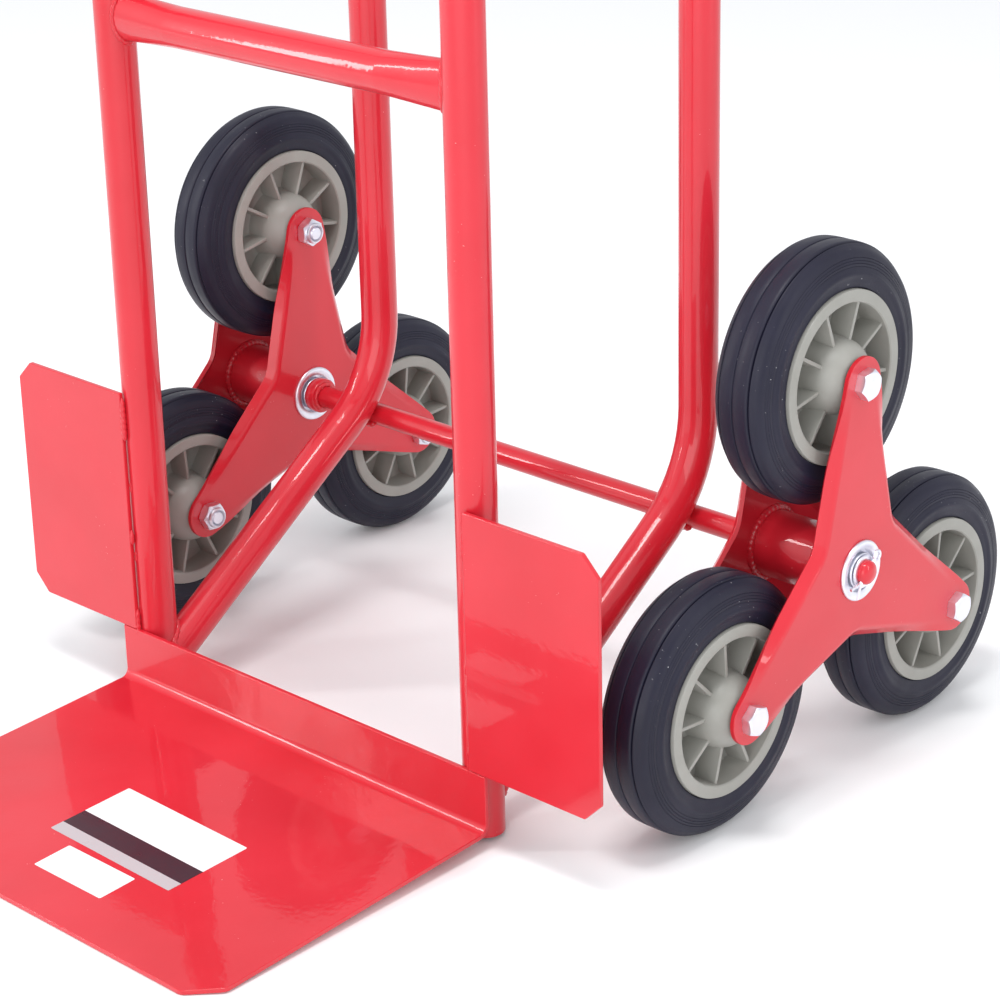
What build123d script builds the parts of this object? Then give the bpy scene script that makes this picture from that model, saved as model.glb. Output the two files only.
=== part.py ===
# Stair climbing trolley: a welded tube frame with a toe plate, and two stars of three wheels.
# Millimetres. +Z is up, +X is to the right seen from the load side, -Y is towards the load.
# The origin is on the floor, under the middle of the outline.
import os
from math import asin, atan2, cos, degrees, hypot, radians, sin, sqrt, tan

from build123d import *

# Frame tubes
overall_height = 1120.0
upright_spacing = 294.0  # centre to centre
rear_tube_inset = 6.0  # nearer the middle than the upright, centre to centre
rear_tube_offset = 206.5  # rear tube centre behind the upright's centre
tube_diameter = 25.0
tube_wall = 2.0
upright_foot_height = 3.0
rear_tube_bend_radius = 85.0
rear_tube_slope = 34.6  # degrees, of the sloping ends above level
lower_bend_height = 166.0  # where the centre lines of the two lower straights cross
upper_bend_height = 800.0
handle_bend_radius = 70.0
handle_slope = 30.0  # degrees above level
handle_length = 190.0  # from where the centre lines cross to the tube's end

# Crossbars between the uprights, pinched flat at both ends
crossbar_heights = {"lower": 455.0, "middle": 680.0, "upper": 890.0}
crossbar_diameter = 25.0
crossbar_end_height = 31.0
crossbar_end_depth = 17.0
crossbar_pinch_length = 46.0

# Toe plate, bent up at the back
toe_plate_width = 326.0
toe_plate_reach = 238.0  # from the upright's centre to the front edge
toe_plate_thickness = 3.0
toe_plate_top = 48.5
toe_plate_back_height = 9.4  # underside at the bend above the floor
toe_plate_bend_radius = 5.0  # inside
toe_plate_corner_cut = 18.0

# Side plates, which keep the load off the wheels
side_plate_width = 103.0
side_plate_offset = 3.0  # inner edge outside the upright's centre
side_plate_bottom = 48.8
side_plate_top = 213.0
side_plate_thickness = 3.0
side_plate_corner_cut = 12.0

# Axle and its stops
axle_diameter = 15.0
collar_diameter = 24.0
collar_width = 8.0
end_washer_diameter = 21.0
end_washer_thickness = 1.6
split_pin_diameter = 2.8
split_pin_angle = 40.0  # degrees, of the eye's end above level towards the back
split_pin_spread = 32.0  # degrees, of each leg
axle_end_length = 2.8  # past the split pin

# Stars
star_offset = 90.5  # middle of the star outside the upright's centre
star_radius = 119.3  # axle to wheel bolt
star_width = 70.0  # over both plates
star_plate_thickness = 3.0
star_tip_radius = 16.2
star_valley_radius = 45.0  # of the outer edge between two arms
star_valley_rounding = 8.0
star_flank_depth = 6.0  # the flanks slope inwards at 45 degrees from the fold
star_flank_end = 94.0  # from the axle, where the sloping flanks stop
hub_tube_diameter = 42.0
bearing_diameter = 32.0
bearing_flange_diameter = 38.0
bearing_flange_thickness = 2.0
bearing_length = 16.0

# Wheel bolts, M10 with lock nuts
bolt_diameter = 10.0
bolt_length = 80.0
bolt_head_height = 6.4
bolt_across_flats = 17.0
nut_height = 10.0
sleeve_wall = 2.0

# Wheels
wheel_diameter = 160.0
tyre_width = 40.0
tyre_seat_diameter = 107.0
rim_width = 42.0
rim_ring_inner_diameter = 90.0
rim_web_thickness = 6.0
wheel_side_gap = 1.9  # between a wheel's hub and each star plate
rim_hub_base_diameter = 54.0
rim_hub_shoulder_diameter = 48.0
rim_hub_end_diameter = 29.6
rim_hub_dome_height = 11.0
rib_count = 9
rib_thickness = 3.6
rib_setback = 2.5  # below the ring's face

# Hand grips
grip_wall = 4.0
grip_length = 125.0
grip_end_thickness = 4.0

# Fits
weld_gap = 0.1  # between two pieces that are welded together
running_clearance = 0.05  # on the radius, where one piece turns on another
seat_clearance = 0.03  # on the radius, where a piece is pressed or clamped in place

# Sizes that follow from those above
tube_radius = tube_diameter / 2
axle_radius = axle_diameter / 2
wheel_radius = wheel_diameter / 2
axle_height = wheel_radius + star_radius / 2
bend_tangent = rear_tube_bend_radius * tan(radians(90 - rear_tube_slope) / 2)
bend_centre_offset = rear_tube_offset - rear_tube_bend_radius
bend_centre_height = lower_bend_height + bend_tangent
axle_from_bend_centre = rear_tube_bend_radius + tube_radius + weld_gap + axle_radius
# The axle lies against the outside of both lower bends.
axle_offset = bend_centre_offset + sqrt(
    axle_from_bend_centre**2 - (bend_centre_height - axle_height) ** 2
)
wheel_reach = axle_offset + star_radius * cos(radians(30)) + wheel_radius
upright_y = (toe_plate_reach - wheel_reach) / 2
axle_y = upright_y + axle_offset
rear_tube_y = upright_y + rear_tube_offset
upright_x = upright_spacing / 2
rear_tube_x = upright_x - rear_tube_inset
star_centre = upright_x + star_offset
star_half_width = star_width / 2
plate_back_y = upright_y - tube_radius - weld_gap
arm_angles = {"top": 90.0, "front": 210.0, "rear": 330.0}
rib_turns = {"top": 20.0, "front": 5.0, "rear": 33.0}

parts = {}


def swept(section, path):
    return sweep(Plane(origin=path @ 0, z_dir=path % 0) * section, path=path)


def swept_tube(path, radius, wall):
    return swept(Circle(radius), path) - swept(Circle(radius - wall), path)


def along_x(x, y, z):
    # Local x and y lie along the trolley's Y and Z, and local z along its X.
    return Plane(origin=(x, y, z), x_dir=(0, 1, 0), z_dir=(1, 0, 0)).location


def upright_clearance(x):
    body = Cylinder(tube_radius + weld_gap, overall_height)
    return Pos(x, upright_y, overall_height / 2) * body


def both_sides(name, right):
    parts[name + "_right"] = right
    parts[name + "_left"] = mirror(right, about=Plane.YZ)


# Uprights with their handles
grip_diameter = tube_diameter + 2 * grip_wall
handle_tip_rise = (handle_length + grip_end_thickness) * sin(radians(handle_slope))
handle_top_rise = grip_diameter / 2 * cos(radians(handle_slope))
handle_bend_height = overall_height - handle_tip_rise - handle_top_rise
handle_end = (
    upright_x,
    upright_y + handle_length * cos(radians(handle_slope)),
    handle_bend_height + handle_length * sin(radians(handle_slope)),
)
upright_path = FilletPolyline(
    (upright_x, upright_y, upright_foot_height),
    (upright_x, upright_y, handle_bend_height),
    handle_end,
    radius=handle_bend_radius,
)
both_sides("upright", swept_tube(upright_path, tube_radius, tube_wall))

# Grips, closed at their ends
grip_plane = Plane(origin=handle_end, z_dir=upright_path % 1)
grip_outer = Cylinder(
    grip_diameter / 2,
    grip_length + grip_end_thickness,
    align=(Align.CENTER, Align.CENTER, Align.MIN),
)
grip_outer = fillet(grip_outer.edges().filter_by(GeomType.CIRCLE), 3.0)
grip_bore = Cylinder(
    tube_radius + seat_clearance,
    grip_length,
    align=(Align.CENTER, Align.CENTER, Align.MIN),
)
grip = grip_plane.location * Pos(0, 0, -grip_length) * (grip_outer - grip_bore)
both_sides("grip", grip)

# Rear tubes, which run down to the axle and forward to the feet
slope_drop = rear_tube_offset * tan(radians(rear_tube_slope))
end_share = 1 - 6.0 / rear_tube_offset  # stops inside the upright, before trimming
rear_tube_path = FilletPolyline(
    (
        rear_tube_x,
        rear_tube_y - rear_tube_offset * end_share,
        lower_bend_height - slope_drop * end_share,
    ),
    (rear_tube_x, rear_tube_y, lower_bend_height),
    (rear_tube_x, rear_tube_y, upper_bend_height),
    (
        rear_tube_x,
        rear_tube_y - rear_tube_offset * end_share,
        upper_bend_height + slope_drop * end_share,
    ),
    radius=rear_tube_bend_radius,
)
rear_tube = swept_tube(rear_tube_path, tube_radius, tube_wall)
rear_tube -= upright_clearance(upright_x)
both_sides("rear_tube", rear_tube)


# Crossbars
def crossbar_half(shrink):
    # From the middle to the pinched end, its section smaller all round by shrink.
    end = upright_x
    round_end = upright_x - tube_radius - crossbar_pinch_length
    round_section = Circle(crossbar_diameter / 2 - shrink)
    flat_section = Ellipse(crossbar_end_depth / 2 - shrink, crossbar_end_height / 2 - shrink)
    straight = extrude(along_x(0, 0, 0) * round_section, amount=round_end, dir=(1, 0, 0))
    sections = [
        along_x(round_end, 0, 0) * round_section,
        along_x(end, 0, 0) * flat_section,
    ]
    return straight + loft(sections)


crossbar_right = crossbar_half(0) - crossbar_half(tube_wall)
crossbar = crossbar_right + mirror(crossbar_right, about=Plane.YZ)
for place, height in crossbar_heights.items():
    bar = Pos(0, upright_y, height) * crossbar
    parts["crossbar_" + place] = (
        bar - upright_clearance(upright_x) - upright_clearance(-upright_x)
    )

# Toe plate: a side profile with a bend at the back, its front corners cut off
flange_front_y = plate_back_y - toe_plate_thickness
toe_front_y = upright_y - toe_plate_reach
toe_rise = toe_plate_back_height / (plate_back_y - toe_front_y)
toe_profile = make_face(
    Plane.YZ
    * Polyline(
        (toe_front_y, 0),
        (plate_back_y, toe_plate_back_height),
        (plate_back_y, toe_plate_top),
        (flange_front_y, toe_plate_top),
        (
            flange_front_y,
            toe_plate_thickness + toe_rise * (flange_front_y - toe_front_y),
        ),
        (toe_front_y, toe_plate_thickness),
        close=True,
    )
)
toe_sheet = extrude(toe_profile, amount=toe_plate_width / 2, dir=(1, 0, 0), both=True)
bend_edges = toe_sheet.edges().filter_by(Axis.X)
outer_bend = bend_edges.sort_by_distance((0, plate_back_y, toe_plate_back_height))[0]
toe_sheet = fillet(outer_bend, toe_plate_bend_radius + toe_plate_thickness)
bend_edges = toe_sheet.edges().filter_by(Axis.X)
inner_corner = (0, flange_front_y, toe_plate_thickness + toe_plate_back_height)
inner_bend = bend_edges.sort_by_distance(inner_corner)[0]
toe_sheet = fillet(inner_bend, toe_plate_bend_radius)
toe_outline_x = toe_plate_width / 2
toe_corner_x = toe_outline_x - toe_plate_corner_cut
toe_corner_y = toe_front_y + toe_plate_corner_cut
toe_outline = make_face(
    Polyline(
        (-toe_outline_x, plate_back_y + 1),
        (-toe_outline_x, toe_corner_y),
        (-toe_corner_x, toe_front_y),
        (toe_corner_x, toe_front_y),
        (toe_outline_x, toe_corner_y),
        (toe_outline_x, plate_back_y + 1),
        close=True,
    )
)
parts["toe_plate"] = toe_sheet & extrude(toe_outline, amount=toe_plate_top)

# Side plates
side_plate_inner = upright_x + side_plate_offset
side_plate_height = side_plate_top - side_plate_bottom
side_plate = Box(side_plate_width, side_plate_thickness, side_plate_height)
outer_edges = side_plate.edges().filter_by(Axis.Y).group_by(Axis.X)[-1]
side_plate = chamfer(outer_edges, side_plate_corner_cut)
side_plate = (
    Pos(
        side_plate_inner + side_plate_width / 2,
        plate_back_y - side_plate_thickness / 2,
        side_plate_bottom + side_plate_height / 2,
    )
    * side_plate
)
both_sides("side_plate", side_plate)

# Axle, with a cross hole for a split pin near each end
star_outer_x = star_centre + star_half_width
star_inner_x = star_centre - star_half_width
washer_x = star_outer_x + bearing_flange_thickness + 4 * weld_gap
split_pin_x = washer_x + end_washer_thickness + split_pin_diameter / 2 + 2 * weld_gap
axle_half_length = split_pin_x + split_pin_diameter / 2 + axle_end_length
axle = along_x(0, axle_y, axle_height) * Cylinder(axle_radius, 2 * axle_half_length)
axle = chamfer(axle.edges().filter_by(GeomType.CIRCLE), 1.0)
pin_hole = Cylinder(split_pin_diameter / 2 + running_clearance, 2 * axle_diameter)
pin_direction = Rot(0, 0, split_pin_angle) * Rot(0, 90, 0)
for side in (-1, 1):
    place = along_x(side * split_pin_x, axle_y, axle_height)
    axle -= place * pin_direction * pin_hole
parts["axle"] = axle


# Stops, washers and split pins on the axle
def ring(outer_radius, inner_radius, width):
    return Cylinder(outer_radius, width) - Cylinder(inner_radius, width)


collar = ring(collar_diameter / 2, axle_radius + seat_clearance, collar_width)
collar_x = star_inner_x - bearing_flange_thickness - 4 * weld_gap - collar_width / 2
both_sides("axle_collar", along_x(collar_x, axle_y, axle_height) * collar)
end_washer = ring(
    end_washer_diameter / 2, axle_radius + seat_clearance, end_washer_thickness
)
end_washer_place = along_x(
    washer_x + end_washer_thickness / 2, axle_y, axle_height
)
both_sides("end_washer", end_washer_place * end_washer)

pin_radius = split_pin_diameter / 2
pin_shank = Cylinder(pin_radius, axle_diameter + 4.0)
eye_wire = 1.2
eye_radius = 3.0
eye_centre = -(axle_diameter / 2 + 2.0 + eye_radius)
pin_eye = Pos(0, 0, eye_centre) * Rot(0, 90, 0) * Torus(eye_radius, eye_wire)
pin_leg = Cylinder(eye_wire, 9.0, align=(Align.CENTER, Align.CENTER, Align.MIN))
pin_legs = [
    Pos(0, 0, axle_diameter / 2 + 1.2) * Rot(turn, 0, 0) * pin_leg
    for turn in (-split_pin_spread, split_pin_spread)
]
split_pin = pin_shank + pin_eye + pin_legs[0] + pin_legs[1]
pin_place = along_x(split_pin_x, axle_y, axle_height) * Rot(0, 0, split_pin_angle)
both_sides("split_pin", pin_place * Rot(0, -90, 0) * split_pin)


# Star plates: a flat three-armed plate with sloping flanks along its arms
valley_half_width = star_valley_radius * sin(radians(60))
valley_along = star_valley_radius * cos(radians(60))
tip_distance = star_radius - valley_along
side_angle = atan2(valley_half_width, tip_distance) - asin(
    star_tip_radius / hypot(valley_half_width, tip_distance)
)


def arm_width_at(along, offset):
    # Half the width of an arm, its sides moved out by offset.
    at_bolt = (star_tip_radius + offset) / cos(side_angle)
    return at_bolt + (star_radius - along) * tan(side_angle)


def star_outline(offset, reach):
    # The three arms as one polygon, cut off square at reach from the axle.
    points = []
    valley = arm_width_at(0, offset) / (tan(radians(60)) + tan(side_angle))
    half = arm_width_at(reach, offset)
    for angle in arm_angles.values():
        turn = Rot(0, 0, angle)
        for along, across in (
            (reach, -half),
            (reach, half),
            (valley, valley * tan(radians(60))),
        ):
            points.append((turn * Pos(along, across, 0)).position)
    outline = make_face(Polyline(*points, close=True))
    valleys = outline.vertices().sort_by_distance((0, 0, 0))[:3]
    return fillet(valleys, star_valley_rounding)


def tip_tab(angle):
    # The flat end of an arm beyond the flanks, at full width and round at its tip.
    tip_contact = star_radius + star_tip_radius * sin(side_angle)
    start, end = arm_width_at(star_flank_end, 0), arm_width_at(tip_contact, 0)
    sides = Polyline(
        (star_flank_end, -start),
        (tip_contact, -end),
        (tip_contact, end),
        (star_flank_end, start),
        close=True,
    )
    tab = make_face(sides) + Pos(star_radius, 0, 0) * Circle(star_tip_radius)
    return Rot(0, 0, angle) * tab


def flank_block(top, bottom, shift, reach):
    # A block between two depths whose sides slope outwards, moved sideways by shift.
    sections = [
        Pos(0, 0, -depth) * star_outline(depth - star_flank_depth + shift, reach)
        for depth in (top, bottom)
    ]
    return loft(sections, ruled=True)


flank_wall = star_plate_thickness * sqrt(2)
star_flat = star_outline(-star_flank_depth, star_flank_end)
for angle in arm_angles.values():
    star_flat += tip_tab(angle)
star_flat = extrude(star_flat, amount=-star_plate_thickness)
flank_outer = flank_block(0, star_flank_depth, 0, star_flank_end)
flank_inner = flank_block(
    star_plate_thickness, star_flank_depth + 1, -flank_wall, star_flank_end + 5
)
star_plate = star_flat + (flank_outer - flank_inner)
star_plate -= Cylinder(bearing_diameter / 2 + seat_clearance, star_width)
for angle in arm_angles.values():
    star_plate -= (
        Rot(0, 0, angle)
        * Pos(star_radius, 0, 0)
        * Cylinder(bolt_diameter / 2 + seat_clearance, star_width)
    )
both_sides(
    "star_outer_plate", along_x(star_outer_x, axle_y, axle_height) * star_plate
)
both_sides(
    "star_inner_plate",
    along_x(star_inner_x, axle_y, axle_height) * mirror(star_plate, about=Plane.XY),
)

# Hub tube and its two flanged bearings
inside_width = star_width - 2 * star_plate_thickness - 2 * weld_gap
rim_hub_length = inside_width - 2 * wheel_side_gap
hub_tube = ring(
    hub_tube_diameter / 2, bearing_diameter / 2 + seat_clearance, inside_width
)
both_sides("hub_tube", along_x(star_centre, axle_y, axle_height) * hub_tube)
bearing_bore = axle_radius + running_clearance
bearing_body = Cylinder(
    bearing_diameter / 2, bearing_length, align=(Align.CENTER, Align.CENTER, Align.MAX)
)
bearing_body = Pos(0, 0, seat_clearance) * bearing_body
bearing_flange = Cylinder(
    bearing_flange_diameter / 2,
    bearing_flange_thickness,
    align=(Align.CENTER, Align.CENTER, Align.MIN),
)
bearing_flange = fillet(bearing_flange.edges().group_by(Axis.Z)[-1], 0.8)
bearing = bearing_body + Pos(0, 0, seat_clearance) * bearing_flange
bearing = bearing - Cylinder(bearing_bore, 4 * bearing_length)
both_sides("bearing_outer", along_x(star_outer_x, axle_y, axle_height) * bearing)
both_sides(
    "bearing_inner",
    along_x(star_inner_x, axle_y, axle_height) * mirror(bearing, about=Plane.XY),
)

# Wheel bolts, lock nuts and the sleeves that the wheels turn on
hexagon = RegularPolygon(bolt_across_flats / 2, 6, major_radius=False)
seat_x = star_half_width + seat_clearance
bolt = Pos(0, 0, seat_x) * extrude(hexagon, amount=bolt_head_height)
bolt += Pos(0, 0, seat_x - bolt_length) * Cylinder(
    bolt_diameter / 2, bolt_length, align=(Align.CENTER, Align.CENTER, Align.MIN)
)
nut = Pos(0, 0, -seat_x - nut_height) * extrude(hexagon, amount=nut_height)
nut -= Cylinder(bolt_diameter / 2 + seat_clearance, 4 * star_width)
sleeve_diameter = bolt_diameter + 2 * sleeve_wall
sleeve = ring(sleeve_diameter / 2, bolt_diameter / 2 + seat_clearance, inside_width)


def three_of(piece):
    placed = [
        along_x(star_centre, axle_y, axle_height)
        * Rot(0, 0, angle)
        * Pos(star_radius, 0, 0)
        * piece
        for angle in arm_angles.values()
    ]
    return Compound(children=placed)


both_sides("wheel_bolts", three_of(bolt))
both_sides("lock_nuts", three_of(nut))
both_sides("wheel_sleeves", three_of(sleeve))

# Wheel: a ribbed plastic rim and a solid tyre, with the wheel's axis along local z
seat_radius = tyre_seat_diameter / 2
rim_ring_inner = rim_ring_inner_diameter / 2
hub_end = rim_hub_length / 2
hub_side = [
    (0.0, hub_end),
    (rim_hub_end_diameter / 2, hub_end),
    (rim_hub_shoulder_diameter / 2, hub_end - rim_hub_dome_height),
    (rim_hub_base_diameter / 2, rim_web_thickness / 2),
]
hub_points = hub_side + [(radius, -along) for radius, along in reversed(hub_side)]
hub_face = make_face(Polyline(*hub_points, close=True))
rib_start = rim_hub_shoulder_diameter / 2 - 2.0
rim = ring(seat_radius - weld_gap, rim_ring_inner, rim_width)
rim = chamfer(rim.edges().filter_by(GeomType.CIRCLE), 0.8)
rim += Cylinder(rim_ring_inner + 1, rim_web_thickness)
rim += Rot(90, 0, 0) * revolve(hub_face, Axis.Y)
rib_height = rim_width - 2 * rib_setback
rib_end = rim_ring_inner + 1.5
rib = Pos((rib_start + rib_end) / 2, 0, 0) * Box(
    rib_end - rib_start, rib_thickness, rib_height
)
for i in range(rib_count):
    rim += Rot(0, 0, i * 360 / rib_count) * rib
rim -= Cylinder(sleeve_diameter / 2 + running_clearance, 2 * rim_hub_length)

half_tyre = tyre_width / 2
# Each point is its radius and its distance in from the tyre's side, from bead to tread.
tyre_side = [
    (seat_radius, 1.5),
    (seat_radius + 1.5, 0.0),
    (wheel_radius - 17.0, 0.0),
    (wheel_radius - 16.0, 0.8),
    (wheel_radius - 8.0, 2.2),
    (wheel_radius - 3.2, 5.5),
    (wheel_radius - 1.6, 8.5),
    (wheel_radius - 1.6, 9.7),
    (wheel_radius - 0.6, 9.9),
    (wheel_radius, 13.0),
]
tyre_points = [(radius, depth - half_tyre) for radius, depth in tyre_side]
tyre_points += [(radius, half_tyre - depth) for radius, depth in reversed(tyre_side)]
tyre_face = make_face(Polyline(*tyre_points, close=True))
tyre = revolve(Plane.XZ * tyre_face, axis=Axis.Z)

for where, angle in arm_angles.items():
    wheel_place = (
        along_x(star_centre, axle_y, axle_height)
        * Rot(0, 0, angle)
        * Pos(star_radius, 0, 0)
        * Rot(0, 0, rib_turns[where])
    )
    both_sides("rim_" + where, wheel_place * rim)
    both_sides("tyre_" + where, wheel_place * tyre)

os.makedirs("parts", exist_ok=True)
for name, part in parts.items():
    export_step(part, "parts/" + name + ".step")
    print(name)
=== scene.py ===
import math
import bpy
import bmesh
from mathutils import Matrix, Vector, noise


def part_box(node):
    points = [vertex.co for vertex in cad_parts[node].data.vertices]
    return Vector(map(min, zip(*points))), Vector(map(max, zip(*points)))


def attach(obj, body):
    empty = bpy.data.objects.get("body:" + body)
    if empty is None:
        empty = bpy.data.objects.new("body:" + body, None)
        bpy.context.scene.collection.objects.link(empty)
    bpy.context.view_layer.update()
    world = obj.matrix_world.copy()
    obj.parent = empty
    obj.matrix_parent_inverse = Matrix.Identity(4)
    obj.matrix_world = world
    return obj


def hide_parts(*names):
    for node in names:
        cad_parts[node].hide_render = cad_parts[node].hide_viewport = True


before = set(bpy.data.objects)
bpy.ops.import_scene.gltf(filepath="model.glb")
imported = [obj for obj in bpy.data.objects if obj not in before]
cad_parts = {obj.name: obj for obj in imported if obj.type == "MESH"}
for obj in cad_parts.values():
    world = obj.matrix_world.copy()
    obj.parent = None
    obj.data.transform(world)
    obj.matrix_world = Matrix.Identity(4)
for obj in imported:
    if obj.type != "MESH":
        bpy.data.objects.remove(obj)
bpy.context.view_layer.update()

sides = {"left": -1, "right": 1}
armAngles = {"top": 90, "front": 210, "rear": 330}
bpy.context.scene.view_settings.view_transform = "Standard"


def stageDone(text):
    print("stage done:", text)


cameraSetup = {
    "place": (1.195, -1.150, 0.839),
    "azimuth": 42.777,
    "elevation": 21.169,
    "roll": -1.052,
    "lens": 102.72,
    "shiftX": -0.040,
    "shiftY": -0.070,
    "sensorWidth": 36.0,
    "seesTo": 120.0,
}


def makeCamera(setup):
    data = bpy.data.cameras.new("camera")
    data.lens = setup["lens"]
    data.sensor_width = setup["sensorWidth"]
    data.shift_x = setup["shiftX"]
    data.shift_y = setup["shiftY"]
    data.clip_end = setup["seesTo"]
    camera = bpy.data.objects.new("camera", data)
    bpy.context.scene.collection.objects.link(camera)
    turn = Matrix.Rotation(math.radians(setup["azimuth"]), 4, "Z")
    tilt = Matrix.Rotation(math.radians(90 - setup["elevation"]), 4, "X")
    roll = Matrix.Rotation(math.radians(setup["roll"]), 4, "Z")
    camera.matrix_world = Matrix.Translation(setup["place"]) @ turn @ tilt @ roll
    bpy.context.scene.camera = camera


makeCamera(cameraSetup)

studio = {
    "worldColor": (0.95, 0.97, 1.0, 1.0),
    "worldStrength": 0.85,
    "floorColor": (0.95, 0.95, 0.955, 1.0),
    "floorSize": 60.0,
    "floorDrop": 0.0003,
    "floorRoughness": 0.8,
    # each light: place, aim, width, height, watts
    "stripLeft": ((-1.9, -1.9, 1.5), (0.0, 0.0, 0.4), 0.22, 2.2, 26),
    "stripRight": ((2.2, 0.7, 1.3), (0.1, 0.0, 0.4), 0.22, 2.2, 10),
    "softTop": ((0.3, -0.5, 2.8), (0.0, 0.0, 0.2), 0.9, 0.5, 32),
    "softFront": ((1.6, -2.6, 0.9), (0.0, 0.0, 0.2), 2.6, 1.8, 32),
}


def makeStudio(setup):
    world = bpy.data.worlds.new("studio")
    world.use_nodes = True
    background = world.node_tree.nodes["Background"]
    background.inputs["Color"].default_value = setup["worldColor"]
    background.inputs["Strength"].default_value = setup["worldStrength"]
    bpy.context.scene.world = world
    for name in ("stripLeft", "stripRight", "softTop", "softFront"):
        place, aim, width, height, watts = setup[name]
        data = bpy.data.lights.new(name, "AREA")
        data.shape = "RECTANGLE"
        data.size, data.size_y, data.energy = width, height, watts
        light = bpy.data.objects.new(name, data)
        look = Vector(aim) - Vector(place)
        light.location = place
        light.rotation_euler = look.to_track_quat("-Z", "Y").to_euler()
        bpy.context.scene.collection.objects.link(light)
    bm = bmesh.new()
    bmesh.ops.create_grid(bm, x_segments=1, y_segments=1, size=setup["floorSize"] / 2)
    bmesh.ops.translate(bm, verts=bm.verts, vec=(0, 0, -setup["floorDrop"]))
    mesh = bpy.data.meshes.new("floor")
    bm.to_mesh(mesh)
    bm.free()
    paper = bpy.data.materials.new("floorPaper")
    paper.use_nodes = True
    shader = paper.node_tree.nodes["Principled BSDF"]
    shader.inputs["Base Color"].default_value = setup["floorColor"]
    shader.inputs["Roughness"].default_value = setup["floorRoughness"]
    mesh.materials.append(paper)
    floor = bpy.data.objects.new("floor", mesh)
    bpy.context.scene.collection.objects.link(floor)


makeStudio(studio)
stageDone("camera and studio")


def startMaterial(name):
    material = bpy.data.materials.new(name)
    material.use_nodes = True
    tree = material.node_tree
    shader = tree.nodes["Principled BSDF"]
    place = tree.nodes.new("ShaderNodeTexCoord").outputs["Object"]
    return material, tree, shader, place


def noiseOf(tree, place, scale, detail=3.0, roughness=0.5):
    node = tree.nodes.new("ShaderNodeTexNoise")
    node.inputs["Scale"].default_value = scale
    node.inputs["Detail"].default_value = detail
    node.inputs["Roughness"].default_value = roughness
    tree.links.new(place, node.inputs["Vector"])
    return node.outputs["Fac"]


def ranged(tree, value, low, high, toLow=0.0, toHigh=1.0):
    node = tree.nodes.new("ShaderNodeMapRange")
    for key, number in (
        ("From Min", low),
        ("From Max", high),
        ("To Min", toLow),
        ("To Max", toHigh),
    ):
        node.inputs[key].default_value = number
    tree.links.new(value, node.inputs["Value"])
    return node.outputs["Result"]


def mixed(tree, factor, first, second):
    node = tree.nodes.new("ShaderNodeMix")
    node.data_type = "RGBA"
    tree.links.new(factor, node.inputs[0])
    for socket, value in ((node.inputs[6], first), (node.inputs[7], second)):
        if isinstance(value, tuple):
            socket.default_value = (*value, 1.0)
        else:
            tree.links.new(value, socket)
    return node.outputs[2]


def multiplied(tree, first, second):
    node = tree.nodes.new("ShaderNodeMath")
    node.operation = "MULTIPLY"
    tree.links.new(first, node.inputs[0])
    tree.links.new(second, node.inputs[1])
    return node.outputs[0]


def bumped(tree, height, strength, distance, before=None):
    node = tree.nodes.new("ShaderNodeBump")
    node.inputs["Strength"].default_value = strength
    node.inputs["Distance"].default_value = distance
    tree.links.new(height, node.inputs["Height"])
    if before is not None:
        tree.links.new(before, node.inputs["Normal"])
    return node.outputs["Normal"]


# each noise: scale, detail, roughness; each range: from low, high, then to low, high
looks = {
    "redPaint": {
        "colors": ((0.640, 0.018, 0.034), (0.575, 0.012, 0.024)),
        "clouds": ((9.0, 4.0), (0.35, 0.65)),
        "dustColor": (0.78, 0.30, 0.29),
        "dustSpecks": ((620.0, 1.0), (0.765, 0.80)),
        "dustPatches": ((24.0, 2.0), (0.52, 0.66)),
        "shine": ((30.0, 3.0), (0.3, 0.7, 0.28, 0.42)),
        "specular": 0.28,
        "coat": 0.62,
        "coatRoughness": 0.035,
        # each bump: noise, strength, distance
        "bumps": [((260.0, 2.0), 0.05, 0.0008), ((38.0, 1.0), 0.10, 0.0015)],
    },
    "tyreRubber": {
        "colors": ((0.0065, 0.0062, 0.018), (0.0125, 0.012, 0.029)),
        "clouds": ((14.0, 5.0, 0.6), (0.3, 0.7)),
        "dustColor": (0.34, 0.34, 0.36),
        "dustSpecks": ((480.0, 2.0), (0.725, 0.75)),
        "dustPatches": ((17.0, 2.0), (0.48, 0.62)),
        "shine": ((45.0, 4.0), (0.3, 0.7, 0.40, 0.55)),
        "specular": 0.33,
        "bumps": [((900.0, 2.0), 0.15, 0.0004)],
    },
    "rimPlastic": {
        "colors": ((0.328, 0.323, 0.296), (0.272, 0.268, 0.242)),
        "clouds": ((22.0, 4.0, 0.6), (0.3, 0.7)),
        "shine": ((80.0, 3.0), (0.3, 0.7, 0.34, 0.50)),
        "bumps": [((700.0, 3.0), 0.10, 0.0003)],
    },
    "brightZinc": {
        "colors": ((0.87, 0.87, 0.94), (0.78, 0.79, 0.88)),
        "clouds": ((75.0, 4.0, 0.6), (0.3, 0.7)),
        "shine": ((190.0, 3.0), (0.3, 0.7, 0.30, 0.42)),
        "metallic": 1.0,
        "bumps": [((1300.0, 2.0), 0.05, 0.0002)],
    },
    "nutNylon": {
        "colors": ((0.62, 0.66, 0.74), (0.50, 0.54, 0.63)),
        "clouds": ((300.0, 3.0), (0.3, 0.7)),
        "roughness": 0.5,
        "bumps": [((1100.0, 2.0), 0.10, 0.0003)],
    },
    "gripRubber": {
        "colors": ((0.016, 0.016, 0.018), (0.032, 0.032, 0.036)),
        "clouds": ((60.0, 4.0, 0.6), (0.3, 0.7)),
        "roughness": 0.62,
        "bumps": [((850.0, 3.0), 0.35, 0.0004)],
    },
}


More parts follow.
